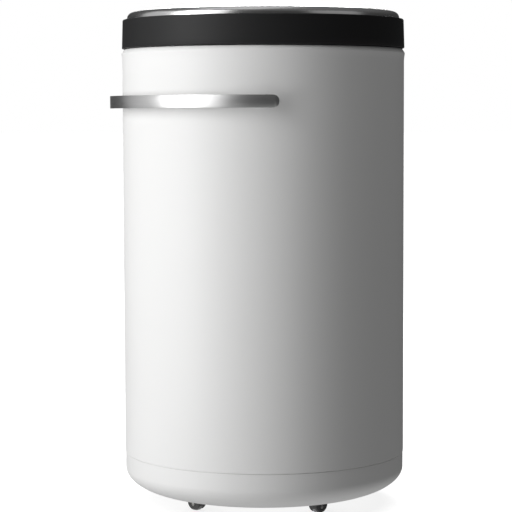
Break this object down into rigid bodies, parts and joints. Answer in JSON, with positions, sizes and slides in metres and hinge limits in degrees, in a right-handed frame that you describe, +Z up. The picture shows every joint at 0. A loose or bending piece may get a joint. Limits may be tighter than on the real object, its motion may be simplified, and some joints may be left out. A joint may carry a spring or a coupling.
{
  "type": "spin dryer",
  "caption": "Round free-standing spin dryer on small castors, with a domed hinged lid, a curved strip handle and a perforated drum on a sprung motor.",
  "frame": {"origin": "on the floor, on the drum's axis", "axes": "+Z up; the handle is at the front, towards -Y; hinge, drain and power inlet are at the back, towards +Y"},
  "size_m": [0.3479, 0.3768, 0.6194],
  "materials": {
    "white_enamel": "satin white powder coat with a faint orange peel",
    "white_plastic": "satin white moulded plastic",
    "black_plastic": "satin black moulded plastic",
    "dome_steel": "polished shoulder, radially brushed disc",
    "handle_steel": "brushed along its length",
    "zinc_steel": "bright zinc plate",
    "spring_steel": "oiled spring steel",
    "drum_steel": "satin stainless sheet, perforated",
    "tub_plastic": "pale grey polypropylene",
    "rubber_black": "matt black rubber",
    "grey_plastic": "mid grey moulded plastic",
    "cast_alloy": "as cast",
    "lamination_steel": "stacked electrical sheet",
    "copper": "varnished copper wire",
    "iron_grey": "machined cast iron",
    "contact_brass": "bright",
    "wheel_grey": "hard pale grey plastic",
    "castor_dark": "dark grey moulded plastic"
  },
  "bodies": {
    "housing": {"casing": "white_enamel", "base_pan": "white_plastic", "top_deck": "tub_plastic", "water_tub": "tub_plastic", "shaft_seal": "rubber_black", "handle_bar": "handle_steel", "handle_posts": "handle_steel", "handle_screws": "zinc_steel", "hinge_bracket": "zinc_steel", "hinge_pin": "zinc_steel", "hinge_screws": "zinc_steel", "latch_clip": "spring_steel", "interlock_housing": "grey_plastic", "lid_switch": "black_plastic", "brake_cable": "rubber_black", "pump_housing": "grey_plastic", "pump_cover": "tub_plastic", "drain_hoses": "rubber_black", "drain_outlet": "grey_plastic", "connection_panel": "white_plastic", "power_inlet": "black_plastic", "inlet_pins": "contact_brass", "capacitor": "white_plastic", "suspension_springs": "spring_steel"},
    "lid": {"lid_collar": "black_plastic", "lid_dome": "dome_steel", "lid_liner": "grey_plastic", "lid_seal": "rubber_black", "lid_screws": "zinc_steel"},
    "plunger": {"interlock_plunger": "white_plastic"},
    "carriage": {"motor_lower_bell": "cast_alloy", "motor_upper_bell": "cast_alloy", "stator_stack": "lamination_steel", "stator_windings": "copper", "motor_bearings": "zinc_steel", "motor_carrier": "zinc_steel", "carrier_bolts": "zinc_steel", "brake_pivot": "zinc_steel"},
    "drum": {"drum_shell": "drum_steel", "drum_hub": "cast_alloy", "balance_ring": "tub_plastic", "drive_shaft": "zinc_steel", "drum_nut": "zinc_steel", "rotor_core": "lamination_steel", "brake_drum": "iron_grey"},
    "brake": {"brake_lever": "zinc_steel", "brake_lining": "iron_grey"},
    "impeller": {"pump_impeller": "white_plastic"},
    "castor_front": {"castor_front_fork": "castor_dark", "castor_front_axle": "zinc_steel"},
    "wheel_front": {"castor_front_wheel": "wheel_grey"},
    "castor_right": {"castor_right_fork": "castor_dark", "castor_right_axle": "zinc_steel"},
    "wheel_right": {"castor_right_wheel": "wheel_grey"},
    "castor_rear": {"castor_rear_fork": "castor_dark", "castor_rear_axle": "zinc_steel"},
    "wheel_rear": {"castor_rear_wheel": "wheel_grey"},
    "castor_left": {"castor_left_fork": "castor_dark", "castor_left_axle": "zinc_steel"},
    "wheel_left": {"castor_left_wheel": "wheel_grey"}
  },
  "joints": [
    {"name": "lid_hinge", "type": "hinge", "parent": "housing", "child": "lid", "pos_m": [0, 0.1814, 0.559], "axis": [-1, 0, 0], "range_deg": [0, 85]},
    {"name": "plunger_slide", "type": "slide", "parent": "housing", "child": "plunger", "axis": [0, 0, 1], "range_m": [0, 0.005]},
    {"name": "carriage_float", "type": "slide", "parent": "housing", "child": "carriage", "axis": [0, 0, 1], "range_m": [-0.004, 0.004], "stiffness_N_per_m": 24000, "springref_m": 0.004, "deforming": ["suspension_springs"]},
    {"name": "drum_spin", "type": "hinge", "parent": "carriage", "child": "drum", "pos_m": [0, 0, 0.06], "axis": [0, 0, 1], "continuous": true},
    {"name": "brake_pivot_turn", "type": "hinge", "parent": "carriage", "child": "brake", "pos_m": [0.049, 0, 0.129], "axis": [0, 0, 1], "range_deg": [0, 1.9]},
    {"name": "impeller_spin", "type": "hinge", "parent": "housing", "child": "impeller", "pos_m": [-0.045, 0.101, 0.109], "axis": [0, 0, 1], "continuous": true},
    {"name": "castor_front_swivel", "type": "hinge", "parent": "housing", "child": "castor_front", "pos_m": [0, -0.104, 0.0226], "axis": [0, 0, 1], "continuous": true},
    {"name": "wheel_front_roll", "type": "hinge", "parent": "castor_front", "child": "wheel_front", "pos_m": [-0.0124, -0.104, 0.008], "axis": [0, -1, 0], "continuous": true},
    {"name": "castor_right_swivel", "type": "hinge", "parent": "housing", "child": "castor_right", "pos_m": [0.104, 0, 0.0226], "axis": [0, 0, 1], "continuous": true},
    {"name": "wheel_right_roll", "type": "hinge", "parent": "castor_right", "child": "wheel_right", "pos_m": [0.104, -0.0124, 0.008], "axis": [1, 0, 0], "continuous": true},
    {"name": "castor_rear_swivel", "type": "hinge", "parent": "housing", "child": "castor_rear", "pos_m": [0, 0.104, 0.0226], "axis": [0, 0, 1], "continuous": true},
    {"name": "wheel_rear_roll", "type": "hinge", "parent": "castor_rear", "child": "wheel_rear", "pos_m": [0.0124, 0.104, 0.008], "axis": [0, 1, 0], "continuous": true},
    {"name": "castor_left_swivel", "type": "hinge", "parent": "housing", "child": "castor_left", "pos_m": [-0.104, 0, 0.0226], "axis": [0, 0, 1], "continuous": true},
    {"name": "wheel_left_roll", "type": "hinge", "parent": "castor_left", "child": "wheel_left", "pos_m": [-0.104, 0.0124, 0.008], "axis": [-1, 0, 0], "continuous": true}
  ],
  "couplings": [
    {"joint": "plunger_slide", "follows": "lid_hinge", "m_per_rad": 0.0033702},
    {"joint": "brake_pivot_turn", "follows": "lid_hinge", "ratio": 0.022353}
  ]
}
